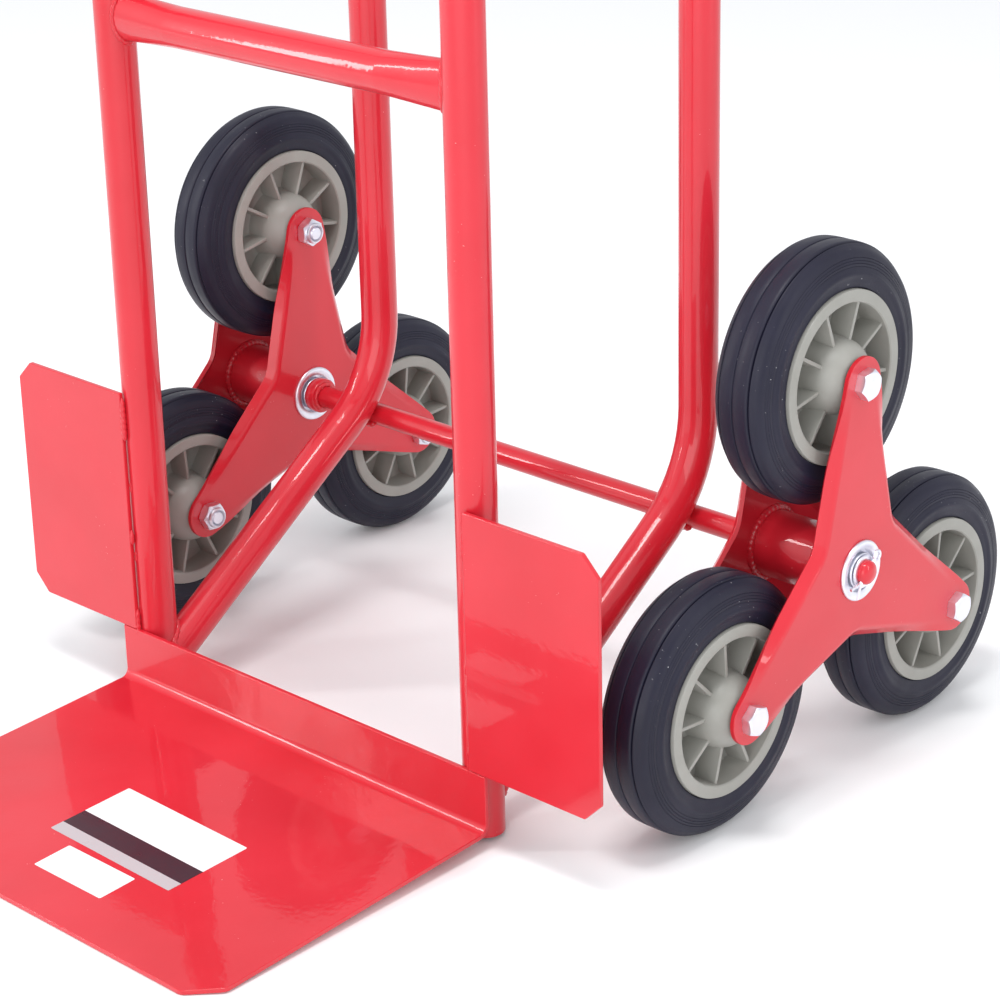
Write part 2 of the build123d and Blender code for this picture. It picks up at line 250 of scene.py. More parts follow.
def makeFinish(name, look):
    material, tree, shader, place = startMaterial(name)

    def clouded(part):
        cloud, limits = look[part]
        return ranged(tree, noiseOf(tree, place, *cloud), *limits)

    color = mixed(tree, clouded("clouds"), *look["colors"])
    if "dustColor" in look:
        dust = multiplied(tree, clouded("dustSpecks"), clouded("dustPatches"))
        color = mixed(tree, dust, color, look["dustColor"])
    tree.links.new(color, shader.inputs["Base Color"])
    if "shine" in look:
        tree.links.new(clouded("shine"), shader.inputs["Roughness"])
    for part, key in (
        ("roughness", "Roughness"),
        ("metallic", "Metallic"),
        ("specular", "Specular IOR Level"),
        ("coat", "Coat Weight"),
        ("coatRoughness", "Coat Roughness"),
    ):
        if part in look:
            shader.inputs[key].default_value = look[part]
    normal = None
    for grain, strength, distance in look["bumps"]:
        normal = bumped(tree, noiseOf(tree, place, *grain), strength, distance, normal)
    tree.links.new(normal, shader.inputs["Normal"])
    if "coat" in look:
        tree.links.new(normal, shader.inputs["Coat Normal"])
    return material


finishes = {name: makeFinish(name, look) for name, look in looks.items()}
redPaint, brightZinc = finishes["redPaint"], finishes["brightZinc"]
stageDone("materials")


# Pieces are shaped in millimetres and placed in metres.
mm = 0.001
toMetres = Matrix.Scale(mm, 4)


def outwards(side, centre):
    # Local x and y lie along world Y and Z, and local z points away from the middle.
    basis = Matrix(((0, 0, side, 0), (1, 0, 0, 0), (0, 1, 0, 0), (0, 0, 0, 1)))
    return Matrix.Translation(centre) @ basis @ toMetres


def turned(degrees):
    return Matrix.Rotation(math.radians(degrees), 4, "Z")


def centreOf(node):
    low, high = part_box(node)
    return (low + high) / 2


def everything(bm):
    return bm.verts[:] + bm.edges[:] + bm.faces[:]


def madeVerts(made):
    return [v for v in made["geom"] if isinstance(v, bmesh.types.BMVert)]


def madeEdges(made):
    return [e for e in made["geom"] if isinstance(e, bmesh.types.BMEdge)]


def openEdges(bm):
    return [e for e in bm.edges if e.is_boundary]


def spinRound(bm, geom, steps, angle=2 * math.pi, centre=(0, 0, 0), merge=False, copies=False):
    bmesh.ops.spin(
        bm,
        geom=geom,
        cent=centre,
        axis=(0, 0, 1),
        dvec=(0, 0, 0),
        angle=angle,
        steps=steps,
        use_merge=merge,
        use_duplicate=copies,
    )


def roundOff(bm, geom, offset, segments, affect="VERTICES"):
    bmesh.ops.bevel(
        bm,
        geom=geom,
        offset=offset,
        segments=segments,
        affect=affect,
        profile=0.5,
        material=-1,
    )


def gathered(shapes):
    # One bmesh from several, each put in its place.
    whole = bmesh.new()
    for shape, place in shapes:
        part = shape.copy()
        part.transform(place)
        mesh = bpy.data.meshes.new("passing")
        part.to_mesh(mesh)
        part.free()
        whole.from_mesh(mesh)
        bpy.data.meshes.remove(mesh)
    return whole


def finishPiece(name, bm, body, materials, nodes=(), closed=True, sharp=35):
    bmesh.ops.remove_doubles(bm, verts=bm.verts, dist=1e-6)
    if closed:
        bmesh.ops.recalc_face_normals(bm, faces=bm.faces)
    mesh = bpy.data.meshes.new(name)
    bm.to_mesh(mesh)
    bm.free()
    for material in materials:
        mesh.materials.append(material)
    mesh.shade_smooth()
    mesh.set_sharp_from_angle(angle=math.radians(sharp))
    piece = bpy.data.objects.new(name, mesh)
    bpy.context.scene.collection.objects.link(piece)
    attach(piece, body)
    if nodes:
        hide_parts(*nodes)
    return piece


def softenEdges(piece, width, angle=40, segments=2):
    bevel = piece.modifiers.new("softEdges", "BEVEL")
    bevel.width = width
    bevel.segments = segments
    bevel.limit_method = "ANGLE"
    bevel.angle_limit = math.radians(angle)
    bevel.harden_normals = False
    weighted = piece.modifiers.new("evenShade", "WEIGHTED_NORMAL")
    weighted.keep_sharp = True


def giveWall(piece, thickness, even=True):
    wall = piece.modifiers.new("wall", "SOLIDIFY")
    wall.thickness = thickness
    wall.offset = -1.0
    wall.use_even_offset = even


def spun(points, steps):
    # A closed profile of (radius, height) pairs, spun about z.
    bm = bmesh.new()
    verts = [bm.verts.new((radius, 0, height)) for radius, height in points]
    edges = [bm.edges.new(pair) for pair in zip(verts, verts[1:] + verts[:1])]
    spinRound(bm, verts + edges, steps, merge=True)
    bmesh.ops.remove_doubles(bm, verts=bm.verts, dist=1e-5)
    return bm


def bothFaces(points):
    # The half profile, then its mirror image back again.
    return points + [(radius, -height) for radius, height in reversed(points)]


tyreShape = {
    "radius": 80.0,
    "halfWidth": 20.0,
    "steps": 120,
    # each pair: how far in from the tread's top, how far in from the side
    "side": [
        (26.5, 2.2), (26.2, 1.3), (25.5, 0.9), (22.0, 0.75), (20.4, 0.55),
        (19.3, 0.1), (18.4, 0.0), (17.4, 0.1), (16.7, 0.6), (15.9, 1.05),
        (13.9, 1.35), (13.7, 1.65), (13.5, 1.45), (12.2, 1.62), (12.0, 1.95),
        (11.8, 1.74), (10.5, 2.0), (10.3, 2.35), (10.1, 2.12),
        (8.8, 2.45), (8.6, 2.85), (8.4, 2.62), (6.7, 3.1),
        (5.0, 3.9), (3.8, 4.9), (2.8, 6.2), (2.0, 7.4), (1.35, 8.0), (1.15, 8.5),
        (1.35, 8.85), (2.3, 9.0), (2.3, 9.5), (0.75, 9.75), (0.32, 10.1),
        (0.12, 12.0), (0.0, 15.0), (0.0, 19.1), (0.15, 19.35), (0.6, 19.5),
    ],
}


def makeTyre(shape):
    points = [
        (shape["radius"] - drop, shape["halfWidth"] - inset)
        for drop, inset in shape["side"]
    ]
    return spun(bothFaces(points), shape["steps"])


rimShape = {
    "steps": 96,
    "half": [
        (7.05, 29.95), (13.4, 29.95), (14.5, 29.6), (15.4, 28.8), (18.4, 26.2),
        (20.8, 22.8), (22.4, 19.4), (23.2, 15.5), (23.9, 10.0), (24.4, 5.8),
        (25.1, 4.0), (26.8, 3.05), (43.0, 3.0), (44.3, 3.7), (44.75, 5.2),
        (45.2, 19.2), (45.5, 20.4), (46.3, 21.0), (52.5, 21.0), (53.1, 20.75),
        (53.35, 20.1),
    ],
    "ribCount": 9,
    "ribFrom": 21.0,
    "ribTo": 45.6,
    "ribHalfHeight": 18.5,
    "ribThickness": 3.6,
    "ribTopThickness": 2.3,
    "ribRound": 0.45,
}


def makeRib(shape):
    bm = bmesh.new()
    bmesh.ops.create_cube(bm, size=1.0)
    length = shape["ribTo"] - shape["ribFrom"]
    bmesh.ops.scale(
        bm, verts=bm.verts, vec=(length, shape["ribThickness"], 2 * shape["ribHalfHeight"])
    )
    middle = (shape["ribFrom"] + shape["ribTo"]) / 2
    bmesh.ops.translate(bm, verts=bm.verts, vec=(middle, 0, 0))
    bmesh.ops.bisect_plane(bm, geom=everything(bm), plane_co=(0, 0, 0), plane_no=(0, 0, 1))
    ends = [v for v in bm.verts if abs(v.co.z) > 1]
    narrow = shape["ribTopThickness"] / shape["ribThickness"]
    bmesh.ops.scale(bm, verts=ends, vec=(1, narrow, 1))
    lips = [e for e in bm.edges if all(abs(v.co.z) > 1 for v in e.verts)]
    lips = [e for e in lips if abs(e.verts[0].co.x - e.verts[1].co.x) > 1]
    roundOff(bm, lips, shape["ribRound"], 3, "EDGES")
    others = shape["ribCount"] - 1
    spinRound(bm, everything(bm), others, 2 * math.pi * others / shape["ribCount"], copies=True)
    return bm


def makeRim(shape):
    still = Matrix.Identity(4)
    body = spun(bothFaces(shape["half"]), shape["steps"])
    return gathered([(body, still), (makeRib(shape), still)])


ribTurns = {"top": 20.0, "front": 5.0, "rear": 33.0}
tyreForm = makeTyre(tyreShape)
rimForm = makeRim(rimShape)
for sideName, side in sides.items():
    for armName, angle in armAngles.items():
        ending = armName + "_" + sideName
        place = outwards(side, centreOf("rim_" + ending)) @ turned(angle + ribTurns[armName])
        finishPiece(
            "ridgedTyre_" + ending,
            gathered([(tyreForm, place)]),
            "wheel_" + ending,
            [finishes["tyreRubber"]],
            ["tyre_" + ending],
            sharp=50,
        )
        finishPiece(
            "ribbedRim_" + ending,
            gathered([(rimForm, place)]),
            "wheel_" + ending,
            [finishes["rimPlastic"]],
            ["rim_" + ending],
        )
stageDone("wheels")


starShape = {
    "armLength": 119.3,
    "tipRadius": 16.2,
    "valleyRadius": 45.0,
    "valleySetback": 4.8,
    "tipSteps": 16,
    "sideCuts": 18,
    "flankDepth": 6.0,
    "foldRadius": 2.2,
    "flankFull": 62.0,
    "flankGone": 120.0,
    "wall": 3.0,
    "edgeRound": 0.35,
    # each hole: radius, steps
    "hubHole": (16.03, 48),
    "boltHole": (5.03, 24),
    "valleySteps": 8,
    "mergeWithin": 0.04,
}


def flankShare(shape, vert):
    # One along the arms' lower ends, none at their tips.
    reach = max(
        vert.x * math.cos(math.radians(a)) + vert.y * math.sin(math.radians(a))
        for a in (0, 120, 240)
    )
    share = (shape["flankGone"] - reach) / (shape["flankGone"] - shape["flankFull"])
    share = min(1.0, max(0.0, share))
    return share * share * (3 - 2 * share)


def makeStarPlate(shape):
    length, tip, flank = shape["armLength"], shape["tipRadius"], shape["flankDepth"]
    halfValley = shape["valleyRadius"] * math.sin(math.radians(60))
    run = length - shape["valleyRadius"] * math.cos(math.radians(60))
    taper = math.atan2(halfValley, run) - math.asin(tip / math.hypot(halfValley, run))
    halfAtAxle = tip / math.cos(taper) + length * math.tan(taper)
    valley = halfAtAxle / (math.tan(math.radians(60)) + math.tan(taper))
    bm = bmesh.new()
    # One arm: its rounded tip, then a straight side to the valley at each hand.
    edge = (length + tip * math.sin(taper), -tip * math.cos(taper), 0)
    half = math.pi - 2 * taper
    spinRound(bm, [bm.verts.new(edge)], shape["tipSteps"], half, (length, 0, 0))
    for hand in (-1, 1):
        vert = max(bm.verts, key=lambda v: hand * v.co.y)
        end = bmesh.ops.extrude_vert_indiv(bm, verts=[vert])
        end["verts"][0].co = (valley, hand * valley * math.tan(math.radians(60)), 0)
        bmesh.ops.subdivide_edges(bm, edges=end["edges"], cuts=shape["sideCuts"])
    spinRound(bm, everything(bm), 2, math.radians(240), copies=True)
    bmesh.ops.remove_doubles(bm, verts=bm.verts, dist=0.01)
    bmesh.ops.contextual_create(bm, geom=bm.edges[:])
    corners = [v for v in bm.verts if v.co.length < 2 * valley + 0.5]
    roundOff(bm, corners, shape["valleySetback"], shape["valleySteps"])
    # Rings parallel to the outline, each a little further in.
    fold = shape["foldRadius"]
    distances = [flank, fold, fold / 2, 0, -fold / 2, -fold]
    for farther, nearer in zip(distances, distances[1:]):
        bmesh.ops.inset_region(
            bm,
            faces=[max(bm.faces, key=lambda f: f.calc_area())],
            thickness=farther - nearer,
            use_even_offset=True,
            use_boundary=True,
        )
    loops = [[v for v in bm.verts if v.is_boundary]]
    seen = set(loops[0])
    while len(loops) < len(distances):
        step = {e.other_vert(v) for v in loops[-1] for e in v.link_edges} - seen
        loops.append(list(step))
        seen |= step
    # Each ring's depth: a straight flank, then an even curve into the flat.
    for distance, loop in zip(distances, loops):
        depth = distance if distance >= fold else (distance + fold) ** 2 / (4 * fold)
        for vert in loop:
            vert.co.z = -depth * flankShare(shape, vert.co)
    flat = max(bm.faces, key=lambda f: f.calc_area())
    rim = list(flat.edges)
    bmesh.ops.delete(bm, geom=[flat], context="FACES_ONLY")
    holes = [(0, 0, *shape["hubHole"])]
    for a in (0, 120, 240):
        x, y = length * math.cos(math.radians(a)), length * math.sin(math.radians(a))
        holes.append((x, y, *shape["boltHole"]))
    for x, y, radius, count in holes:
        ring = bmesh.ops.create_circle(
            bm,
            cap_ends=False,
            radius=radius,
            segments=count,
            matrix=Matrix.Translation((x, y, 0)),
        )
        rim += list({e for v in ring["verts"] for e in v.link_edges})
    bmesh.ops.triangle_fill(bm, edges=rim, use_beauty=True, use_dissolve=False)
    bmesh.ops.remove_doubles(bm, verts=bm.verts, dist=shape["mergeWithin"])
    bmesh.ops.dissolve_degenerate(bm, edges=bm.edges[:], dist=shape["mergeWithin"])
    bmesh.ops.recalc_face_normals(bm, faces=bm.faces)
    if sum(f.normal.z * f.calc_area() for f in bm.faces) < 0:
        bmesh.ops.reverse_faces(bm, faces=bm.faces)
    return bm


def faceOut(bm, flipped):
    # A mirrored place turns the faces inside out.
    if flipped:
        bmesh.ops.reverse_faces(bm, faces=bm.faces)
    return bm


starForm = makeStarPlate(starShape)
for sideName, side in sides.items():
    for plateName, facing in (("outer", 1), ("inner", -1)):
        node = "star_" + plateName + "_plate_" + sideName
        low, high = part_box(node)
        face = high.x if side * facing > 0 else low.x
        middle = centreOf("hub_tube_" + sideName)
        place = outwards(side, (face, middle.y, middle.z)) @ turned(90)
        place = place @ Matrix.Diagonal((1, 1, facing, 1))
        plate = faceOut(gathered([(starForm, place)]), side * facing < 0)
        piece = finishPiece(
            "starPlate_" + plateName + "_" + sideName,
            plate,
            "star_" + sideName,
            [redPaint],
            [node],
            closed=False,
            sharp=50,
        )
        giveWall(piece, starShape["wall"] * mm, even=False)
        softenEdges(piece, starShape["edgeRound"] * mm, 50)
stageDone("star plates")


boltShape = {
    "acrossFlats": 17.0,
    "headHeight": 6.4,
    "faceShare": 0.47,
    "faceChamfer": 30.0,
    "radius": 5.0,
    "length": 80.0,
    "seat": 35.03,
    "threadPitch": 1.5,
    "threadDepth": 0.55,
    "threadTurns": 10,
    "endTaper": 1.0,
    "endLead": 0.8,
    "shankLead": 0.4,
    "steps": 28,
    "intoHead": 0.2,
    "turns": {"top": 12.0, "front": 40.0, "rear": 25.0},
}
nutShape = {
    "height": 10.0,
    "hexHeight": 7.2,
    "collarRadius": 7.3,
    # each pair: how far inside the collar's radius, how far below its top
    "collar": [
        (0.1, 3.4), (0.0, 2.5), (0.0, 1.2), (0.3, 0.5), (0.9, 0.08), (1.3, 0.0),
        (1.6, 0.2), (1.7, 0.8), (1.7, 3.4),
    ],
    "nylon": [(1.75, 0.9), (1.77, 0.7), (2.27, 1.0), (2.27, 3.2), (1.75, 3.2)],
    "steps": 40,
    "turn": 17.0,  # past the bolt's
}


def hexPrism(flats, height, faceShare, chamfer, bothEnds=False):
    # A hexagon whose corners are turned down by a shallow cone, as on a real bolt.
    bm = bmesh.new()
    corner = flats / math.sqrt(3)
    bmesh.ops.create_circle(bm, cap_ends=False, radius=corner, segments=6)
    bmesh.ops.subdivide_edges(bm, edges=bm.edges[:], cuts=7)
    slope = math.tan(math.radians(chamfer))
    flat = flats * faceShare

    def coneTop(vert):
        return height - max(0.0, vert.co.to_2d().length - flat) * slope

    def closeEnd(edges, level):
        made = bmesh.ops.extrude_edge_only(bm, edges=edges)
        for vert in madeVerts(made):
            spot = vert.co.to_2d().normalized() * flat
            vert.co = (spot.x, spot.y, level)
        bmesh.ops.contextual_create(bm, geom=[e for e in madeEdges(made) if e.is_boundary])

    low = bm.edges[:]
    made = bmesh.ops.extrude_edge_only(bm, edges=low)
    for vert in madeVerts(made):
        vert.co.z = coneTop(vert)
    closeEnd([e for e in madeEdges(made) if e.is_boundary], height)
    if bothEnds:
        for vert in {v for e in low for v in e.verts}:
            vert.co.z = height - coneTop(vert)
        closeEnd(openEdges(bm), 0.0)
    else:
        bmesh.ops.contextual_create(bm, geom=openEdges(bm))
    bmesh.ops.recalc_face_normals(bm, faces=bm.faces)
    return bm


def closeProfile(points, steps):
    # A profile whose first and last points lie on the axis.
    bm = bmesh.new()
    verts = [bm.verts.new((radius, 0, height)) for radius, height in points]
    edges = [bm.edges.new(pair) for pair in zip(verts, verts[1:])]
    spinRound(bm, verts + edges, steps, merge=True)
    bmesh.ops.remove_doubles(bm, verts=bm.verts, dist=1e-4)
    return bm


def threadedEnd(shape, low):
    # Ridges of the thread, from the bolt's end up into the nut.
    points = [(0, low), (shape["radius"] - shape["endTaper"], low)]
    height = low + shape["endLead"]
    for i in range(shape["threadTurns"]):
        points.append((shape["radius"] - shape["threadDepth"], height))
        points.append((shape["radius"], height + shape["threadPitch"] / 2))
        height += shape["threadPitch"]
    points.append((shape["radius"] - shape["threadDepth"], height))
    points.append((shape["radius"], height + shape["shankLead"]))
    return points


def makeBolt(shape, turn):
    still = Matrix.Identity(4)
    head = hexPrism(
        shape["acrossFlats"], shape["headHeight"], shape["faceShare"], shape["faceChamfer"]
    )
    points = threadedEnd(shape, shape["seat"] - shape["length"])
    top = shape["seat"] + shape["intoHead"]
    points += [(shape["radius"], top), (0, top)]
    lift = Matrix.Translation((0, 0, shape["seat"])) @ turned(turn)
    return gathered([(closeProfile(points, shape["steps"]), still), (head, lift)])


def makeNut(shape, bolt, turn):
    # The hexagon, its rolled collar and the nylon ring inside that.
    prism = hexPrism(
        bolt["acrossFlats"], shape["hexHeight"], bolt["faceShare"], bolt["faceChamfer"], True
    )
    top, wide = shape["height"], shape["collarRadius"]
    collar, nylon = (
        spun([(wide - inward, top - down) for inward, down in shape[part]], shape["steps"])
        for part in ("collar", "nylon")
    )
    for face in nylon.faces:
        face.material_index = 1
    below = Matrix.Translation((0, 0, -bolt["seat"])) @ Matrix.Diagonal((1, 1, -1, 1))
    below = below @ turned(turn)
    return gathered([(prism, below), (collar, below), (nylon, below)])


def onArms(side, shapes):
    # One shape for each arm's end, placed on the star.
    centre = centreOf("hub_tube_" + side)
    placed = []
    for armName, shape in shapes.items():
        reach = Matrix.Translation((starShape["armLength"], 0, 0))
        spot = outwards(sides[side], centre) @ turned(armAngles[armName]) @ reach
        placed.append((shape, spot))
    return gathered(placed)


bolts, nuts = {}, {}
for armName, turn in boltShape["turns"].items():
    bolts[armName] = makeBolt(boltShape, turn)
    nuts[armName] = makeNut(nutShape, boltShape, turn + nutShape["turn"])
for sideName in sides:
    finishPiece(
        "hexBolts_" + sideName,
        onArms(sideName, bolts),
        "star_" + sideName,
        [brightZinc],
        ["wheel_bolts_" + sideName],
        sharp=28,
    )
    finishPiece(
        "lockNuts_" + sideName,
        onArms(sideName, nuts),
        "star_" + sideName,
        [brightZinc, finishes["nutNylon"]],
        ["lock_nuts_" + sideName],
        sharp=28,
    )
stageDone("bolts and nuts")


bearingShape = {
    "steps": 72,
    # radius and height over the plate, round the flanged bearing's section
    "section": [
        (7.56, -16.0), (15.4, -16.0), (16.0, -15.4), (16.0, 0.03), (18.7, 0.03), (19.0, 0.3),
        (19.0, 1.0), (18.8, 1.5), (18.3, 1.85), (17.6, 2.0), (16.6, 1.98), (13.9, 1.5),
        (13.5, 1.2), (13.4, -2.5), (11.4, -2.5), (11.3, 1.3), (11.1, 1.75), (10.8, 1.95),
        (9.4, 2.0), (8.9, 1.7), (8.5, 1.0), (7.56, 0.9),
    ],
}
washerShape = {
    "steps": 64,
    "section": [
        (7.53, 0.1), (7.53, 1.5), (7.8, 1.6), (9.7, 1.6), (10.25, 1.4), (10.5, 0.9),
        (10.4, 0.2), (10.0, 0.0), (7.8, 0.0),
    ],
}
collarShape = {
    "steps": 64,
    "section": [
        (7.53, -4.0), (7.53, 4.0), (10.8, 4.0), (11.6, 3.7), (12.0, 3.0), (12.0, -3.0),
        (11.6, -3.7), (10.8, -4.0),
    ],
}
bearingForm = spun(bearingShape["section"], bearingShape["steps"])
washerForm = spun(washerShape["section"], washerShape["steps"])
collarForm = spun(collarShape["section"], collarShape["steps"])
axleShape = {
    "steps": 48,
    # radius and distance in from the domed end
    "end": [(0.0, 0.0), (2.0, 0.1), (3.8, 0.45), (5.4, 1.1), (6.6, 2.0), (7.3, 3.1), (7.5, 4.4)],
}


def makeAxle(shape, length):
    half = length / 2 / mm
    end = [(radius, half - inward) for radius, inward in shape["end"]]
    return closeProfile(bothFaces(end), shape["steps"])


axleLow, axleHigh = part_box("axle")
axleForm = makeAxle(axleShape, axleHigh.x - axleLow.x)
axlePlace = outwards(1, (axleLow + axleHigh) / 2)
axleBar = gathered([(axleForm, axlePlace)])
finishPiece("axleBar", axleBar, "frame", [redPaint], ["axle"])
for sideName, side in sides.items():
    hub = centreOf("hub_tube_" + sideName)
    for where, facing in (("outer", 1), ("inner", -1)):
        plate = "star_" + where + "_plate_" + sideName
        low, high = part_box(plate)
        face = high.x if side * facing > 0 else low.x
        spot = outwards(side, (face, hub.y, hub.z)) @ Matrix.Diagonal((1, 1, facing, 1))
        finishPiece(
            "flangedBearing_" + where + "_" + sideName,
            gathered([(bearingForm, spot)]),
            "star_" + sideName,
            [brightZinc],
            ["bearing_" + where + "_" + sideName],
        )
    low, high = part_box("end_washer_" + sideName)
    near = low.x if side > 0 else high.x
    finishPiece(
        "endWasher_" + sideName,
        gathered([(washerForm, outwards(side, (near, hub.y, hub.z)))]),
        "frame",
        [brightZinc],
        ["end_washer_" + sideName],
    )
    finishPiece(
        "axleCollar_" + sideName,
        gathered([(collarForm, outwards(side, centreOf("axle_collar_" + sideName)))]),
        "frame",
        [redPaint],
        ["axle_collar_" + sideName],
    )
stageDone("bearings and collars")


def ringsAlong(path, radii, closed, segments=10):
    # Circles set along a path, each bridged to the next.
    bm = bmesh.new()
    loops = []
    count = len(path)
    for i, point in enumerate(path):
        before = path[i - 1] if closed or i else point
        after = path[(i + 1) % count] if closed or i < count - 1 else point
        along = (Vector(after) - Vector(before)).normalized()
        turn = Vector((0, 0, 1)).rotation_difference(along).to_matrix().to_4x4()
        made = bmesh.ops.create_circle(
            bm,
            cap_ends=False,
            radius=radii[i],
            segments=segments,
            matrix=Matrix.Translation(point) @ turn,
        )
        loops.append(list({e for v in made["verts"] for e in v.link_edges}))
    ends = [loops[0], loops[-1]]
    pairs = list(zip(loops, loops[1:])) + ([(loops[-1], loops[0])] if closed else [])
    for first, second in pairs:
        bmesh.ops.bridge_loops(bm, edges=first + second)
    if not closed:
        for loop in ends:
            bmesh.ops.contextual_create(bm, geom=loop)
    bmesh.ops.recalc_face_normals(bm, faces=bm.faces)
    return bm


pinShape = {
    "wireRadius": 0.92,
    "eye": 3.0,
    "eyeOpening": 28,  # half of the gap in the eye, in degrees
    "eyeBack": 2.0,
    "spread": 32.0,
    "turn": 40.0,
    "leg": 9.0,
    "axle": 7.5,
    "halfGap": 0.55,
    "neck": (2.2, 0.9),  # before the axle, and out from the middle
    "bendStart": 1.2,
}


def makeSplitPin(shape):
    # Local x runs from the eye, through the axle, to the two bent legs.
    axle, gap = shape["axle"], shape["halfGap"]
    neck, neckGap = shape["neck"]
    eye = -(axle + shape["eyeBack"] + shape["eye"])
    bow = []
    for i in range(21):
        a = math.radians(shape["eyeOpening"] + i * (360 - 2 * shape["eyeOpening"]) / 20)
        bow.append((eye + shape["eye"] * math.cos(a), shape["eye"] * math.sin(a), 0))
    paths = [bow]
    for hand in (-1, 1):
        bend = math.radians(shape["spread"] * hand)
        path = [(-axle - neck, hand * neckGap, 0), (-axle, hand * gap, 0)]
        path += [(axle * t, hand * gap, 0) for t in (-0.3, 0.4, 1.0)]
        for t in (0.0, 0.15, 0.35, 0.7, 1.0):
            reach = t * shape["leg"]
            x = axle + shape["bendStart"] + reach * math.cos(bend)
            path.append((x, hand * gap + reach * math.sin(bend), 0))
        paths.append(path)
    still = Matrix.Identity(4)
    wires = [ringsAlong(path, [shape["wireRadius"]] * len(path), False) for path in paths]
    return gathered([(wire, still) for wire in wires])


pinForm = makeSplitPin(pinShape)
for sideName, side in sides.items():
    flip = turned(pinShape["turn"] + 180)
    spot = outwards(side, centreOf("split_pin_" + sideName))
    hub = centreOf("hub_tube_" + sideName)
    spot.translation.y, spot.translation.z = hub.y, hub.z
    finishPiece(
        "splitPin_" + sideName,
        gathered([(pinForm, spot @ flip)]),
        "frame",
        [brightZinc],
        ["split_pin_" + sideName],
    )
stageDone("split pins")


tubeRadius = 0.0125
uprightX = centreOf("upright_right").x
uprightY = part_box("upright_right")[0].y + tubeRadius
axleSpot = centreOf("hub_tube_right")
rearX = centreOf("rear_tube_right").x
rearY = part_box("rear_tube_right")[1].y - tubeRadius

toeShape = {
    "thickness": 3.0,
    "bendRadius": 8.0,
    "cornerCut": 18.0,
    "cornerRound": 2.5,
    "backRise": 9.4,
    "frontBack": 0.15,  # keeps the leaning front edge inside the size
    "edgeRound": 0.5,
}


def makeToePlate(shape):
    # The underside's side profile, drawn across, then given its wall upwards.
    low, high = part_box("toe_plate")
    bm = bmesh.new()
    front = bm.verts.new((low.x, low.y + shape["frontBack"] * mm, 0))
    corner = bm.verts.new((low.x, high.y, shape["backRise"] * mm))
    top = bm.verts.new((low.x, high.y, high.z))
    bm.edges.new((front, corner))
    bm.edges.new((corner, top))
    roundOff(bm, [corner], shape["bendRadius"] * mm, 10)
    made = bmesh.ops.extrude_edge_only(bm, edges=bm.edges[:])
    bmesh.ops.translate(bm, verts=madeVerts(made), vec=(high.x - low.x, 0, 0))
    cut = shape["cornerCut"] * mm
    for hand, edge in ((-1, low.x), (1, high.x)):
        bmesh.ops.bisect_plane(
            bm,
            geom=everything(bm),
            plane_co=(edge, low.y + cut, 0),
            plane_no=(hand, -1, 0),
            clear_outer=True,
        )
    corners = [v for v in bm.verts if v.co.y < low.y + cut * 1.02]
    roundOff(bm, corners, shape["cornerRound"] * mm, 4)
    bmesh.ops.recalc_face_normals(bm, faces=bm.faces)
    if max(bm.faces, key=lambda f: f.calc_area()).normal.z > 0:
        bmesh.ops.reverse_faces(bm, faces=bm.faces)
    return bm


toePlate = finishPiece(
    "toePlate",
    makeToePlate(toeShape),
    "frame",
    [redPaint],
    ["toe_plate"],
    closed=False,
)
giveWall(toePlate, toeShape["thickness"] * mm)
softenEdges(toePlate, toeShape["edgeRound"] * mm, 60)

sidePlateShape = {"cornerCut": 12.0, "cornerRound": 0.8, "innerRound": 1.2, "edgeRound": 0.5}


def makeSidePlate(shape, side):
    low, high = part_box("side_plate_" + side)
    bm = bmesh.new()
    bmesh.ops.create_cube(bm, size=1.0)
    bmesh.ops.scale(bm, verts=bm.verts, vec=high - low)
    bmesh.ops.translate(bm, verts=bm.verts, vec=(low + high) / 2)
    hand = sides[side]

    def throughEdges(test):
        # The edges that run through the plate, at each of its corners.
        through = [e for e in bm.edges if abs(e.verts[0].co.y - e.verts[1].co.y) > 0.001]
        return [e for e in through if test(e.verts[0].co.x * hand)]

    outer = max(low.x * hand, high.x * hand)
    # The outer corners are cut first, and the cuts' own corners rounded after that.
    for test, size, segments in (
        (lambda x: x > outer - 0.001, shape["cornerCut"], 1),
        (lambda x: x > outer - 0.014, shape["cornerRound"], 4),
        (lambda x: x < outer - 0.050, shape["innerRound"], 3),
    ):
        roundOff(bm, throughEdges(test), size * mm, segments, "EDGES")
    return bm


for sideName in sides:
    sidePlate = finishPiece(
        "sidePlate_" + sideName,
        makeSidePlate(sidePlateShape, sideName),
        "frame",
        [redPaint],
        ["side_plate_" + sideName],
    )
    softenEdges(sidePlate, sidePlateShape["edgeRound"] * mm, 60)
stageDone("plates")


gripShape = {
    "length": 129.0,
    "radius": 16.5,
    "bore": 12.53,
    "wall": 4.0,
    "ridges": 16,
    "ridgeDepth": 1.1,
    "collar": 12.0,
    # each pair: place along one ridge's pitch, share of the ridge's depth
    "ridge": [(0.05, 0.7), (0.15, 1.0), (0.35, 1.0), (0.45, 0.6), (0.6, 0.1), (0.9, 0.1)],
    # each pair: in from the radius, in from the end
    "openEnd": [(0.8, 0.0), (0.1, 0.6), (0.0, 1.5)],
    "shutEnd": [(0.0, 4.0), (0.5, 1.8), (2.0, 0.4), (4.0, 0.0)],
    "collarEdge": 1.5,
    "steps": 64,
    "fingerPitch": 25.0,
    "fingersFrom": 14.0,
    "fingersTo": 114.0,
    "fingerDepth": 1.0,
    "lean": 30.0,
}


